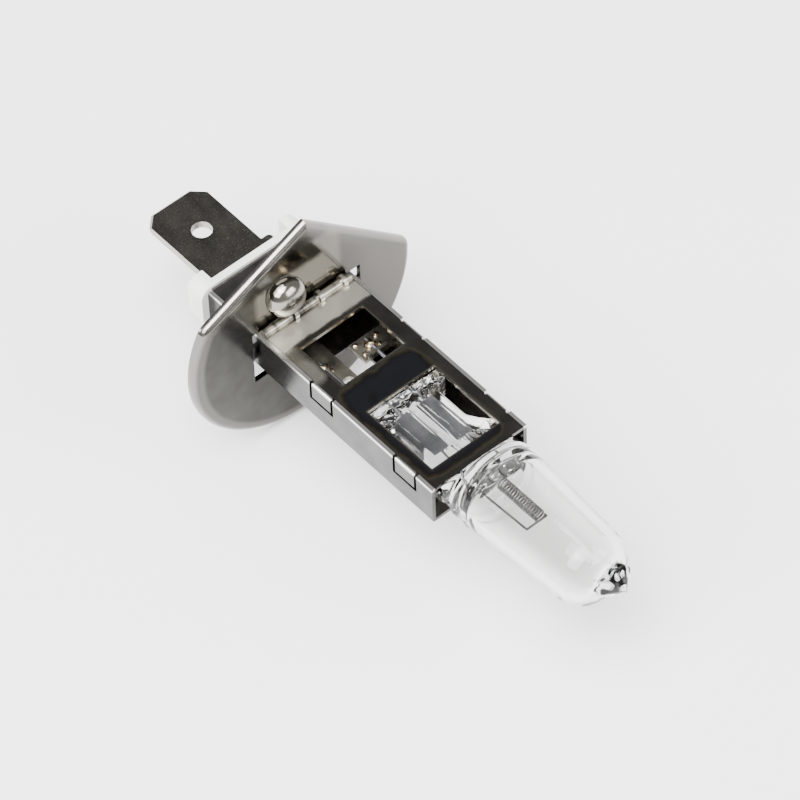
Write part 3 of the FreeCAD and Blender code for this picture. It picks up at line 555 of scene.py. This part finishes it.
def add_skin(mesh, table, outside):
    """A closed skin through the table's sections; only the outside has marks, and faces outward."""
    start, end = table[0][0], table[-1][0]
    count = int(round((end - start) / STEP))
    rings = []
    for number in range(count + 1):
        ahead = start + (end - start) * number / count
        rings.append([mesh.verts.new(surface_point(table, ahead, 2.0 * math.pi * k / RING, outside))
                      for k in range(RING)])
    faces = []
    for first, second in zip(rings, rings[1:]):
        for k in range(RING):
            after = (k + 1) % RING
            faces.append(mesh.faces.new((first[k], second[k], second[after], first[after])))
    for ring, at in ((rings[0], start), (rings[-1], end)):
        hub = mesh.verts.new((0.0, -at * MM, AXIS_Z * MM))
        for k in range(RING):
            faces.append(mesh.faces.new((ring[k], ring[(k + 1) % RING], hub)))
    bmesh.ops.recalc_face_normals(mesh, faces=faces)
    if not outside:
        bmesh.ops.reverse_faces(mesh, faces=faces)


def make_glass():
    mesh = bmesh.new()
    add_skin(mesh, OUTSIDE, True)
    add_skin(mesh, INSIDE, False)
    piece = add_piece("burner_glass", mesh, "quartz_burner")
    smooth = piece.modifiers.new("round", "SMOOTH")
    smooth.factor = 0.5
    smooth.iterations = 2


make_glass()

# ---------------------------------------------------------------- weld nuggets

# place (x, y, z) and radius of each nugget, mm
EARTH_NUGGETS = (((2.5, -5.7, -0.46), 0.55), ((1.45, -5.0, -0.48), 0.26), ((1.5, -6.35, -0.48), 0.30),
                 ((3.55, -5.25, -0.48), 0.32), ((3.2, -6.3, -0.48), 0.28))
LIVE_NUGGETS = (((-2.04, -5.0, -0.70), 0.52), ((-1.75, -5.6, -0.72), 0.26))
NUGGET_DETAIL = 4           # subdivisions of one nugget
NUGGET_HEIGHT = 0.62        # height of a nugget for a radius of one
LUMPS = ((0.22, 1.4, 3.0), (0.07, 4.5, 1.0))    # height, scale and offset of its coarse and fine lumps


def make_nuggets(name, places, node):
    """Flattened, lumpy beads of solidified metal that stand for one weld."""
    mesh = bmesh.new()
    for at, radius in places:
        made = bmesh.ops.create_icosphere(mesh, subdivisions=NUGGET_DETAIL, radius=1.0)
        centre = Vector(at)
        for vert in made["verts"]:
            lump = 1.0
            for height, scale, offset in LUMPS:
                lump += height * noise.noise(vert.co * scale + centre * offset)
            spot = vert.co * radius * lump
            spot.z *= NUGGET_HEIGHT
            vert.co = (centre + spot) * MM
    add_piece(name, mesh, node)


make_nuggets("earth_nuggets", EARTH_NUGGETS, "weld_earth")
make_nuggets("live_nuggets", LIVE_NUGGETS, "weld_live")

# ---------------------------------------------------------------- stage, light and camera

FLOOR_Z = CAD_LOW.z - 0.2 * MM      # just under the flange's lowest point
FLOOR_REACH = 3.0                   # half the floor's side, m
FLOOR_DARK, FLOOR_LIGHT = 0.94, 0.96
SURROUND_STRENGTH, SURROUND_GREY = 0.55, (0.55, 0.55, 0.55, 1.0)
SURROUND_FADE = (0.1, 0.45)         # the surround goes from white to grey over this part of its Y
# name, place, width and height in metres, and power in watts; each is aimed at the origin
LIGHTS = (
    ("key", (-0.75, -0.2, 0.9), 0.8, 0.9, 32.0),
    ("fill", (0.35, -1.0, 0.7), 1.0, 0.6, 18.0),
    ("top", (-0.35, -0.2, 1.2), 0.8, 0.8, 34.0),
    ("strip", (-0.776, 0.49, 0.397), 0.1, 0.35, 3.0),
)
AZIMUTH, ELEVATION, ROLL = -39.0, 50.92, -2.37      # degrees
AIM = (2.3, -9.7, -4.2)                             # the point looked at, mm
CAMERA_DISTANCE = 459.7                             # mm
LENS, SENSOR = 242.7, 36.0                          # mm


def make_floor():
    mesh = bpy.data.meshes.new("floor")
    corners = [(-1, -1), (1, -1), (1, 1), (-1, 1)]
    mesh.from_pydata([(x * FLOOR_REACH, y * FLOOR_REACH, FLOOR_Z) for x, y in corners], [],
                     [(0, 1, 2, 3)])
    floor = bpy.data.objects.new("floor", mesh)
    bpy.context.collection.objects.link(floor)
    n = Nodes("floor_paper")
    n.set(Roughness=0.9, Specular_IOR_Level=0.1)
    colour = n.ramp(n.noise(30.0, 3.0), (0.0, FLOOR_DARK), (1.0, FLOOR_LIGHT))
    floor.data.materials.append(n.finish(colour))


def area_light(name, place, width, height, power):
    light = bpy.data.lights.new(name, "AREA")
    light.shape = "RECTANGLE"
    light.size, light.size_y = width, height
    light.energy = power
    made = bpy.data.objects.new(name, light)
    bpy.context.collection.objects.link(made)
    made.location = place
    made.rotation_euler = (-Vector(place)).to_track_quat("-Z", "Y").to_euler()


def make_light():
    """A soft white surround, greyer towards +Y, with three soft boxes and a slim strip light."""
    world = bpy.data.worlds.new("studio")
    world.use_nodes = True
    tree = world.node_tree
    ground = tree.nodes["Background"]
    place = tree.nodes.new("ShaderNodeTexCoord")
    split = tree.nodes.new("ShaderNodeSeparateXYZ")
    shade = tree.nodes.new("ShaderNodeValToRGB")
    colours = ((1.0, 1.0, 1.0, 1.0), SURROUND_GREY)
    for stop, at, colour in zip(shade.color_ramp.elements, SURROUND_FADE, colours):
        stop.position = at
        stop.color = colour
    tree.links.new(place.outputs["Generated"], split.inputs[0])
    tree.links.new(split.outputs["Y"], shade.inputs["Fac"])
    tree.links.new(shade.outputs["Color"], ground.inputs["Color"])
    ground.inputs["Strength"].default_value = SURROUND_STRENGTH
    bpy.context.scene.world = world
    for values in LIGHTS:
        area_light(*values)


def make_camera():
    """The viewpoint: azimuth, elevation and roll about the aimed point, with a long lens."""
    azimuth, elevation, roll = (math.radians(angle) for angle in (AZIMUTH, ELEVATION, ROLL))
    aim = Vector(AIM) * MM
    back = Vector((math.sin(azimuth) * math.cos(elevation), -math.cos(azimuth) * math.cos(elevation),
                   math.sin(elevation)))
    camera = bpy.data.cameras.new("camera")
    camera.lens = LENS
    camera.sensor_width = SENSOR
    camera.clip_start, camera.clip_end = 0.01, 20.0
    made = bpy.data.objects.new("camera", camera)
    bpy.context.collection.objects.link(made)
    turn = (-back).to_track_quat("-Z", "Y").to_matrix() @ Matrix.Rotation(roll, 3, "Z")
    made.matrix_world = Matrix.Translation(aim + back * (CAMERA_DISTANCE * MM)) @ turn.to_4x4()
    bpy.context.scene.camera = made


make_floor()
make_light()
make_camera()
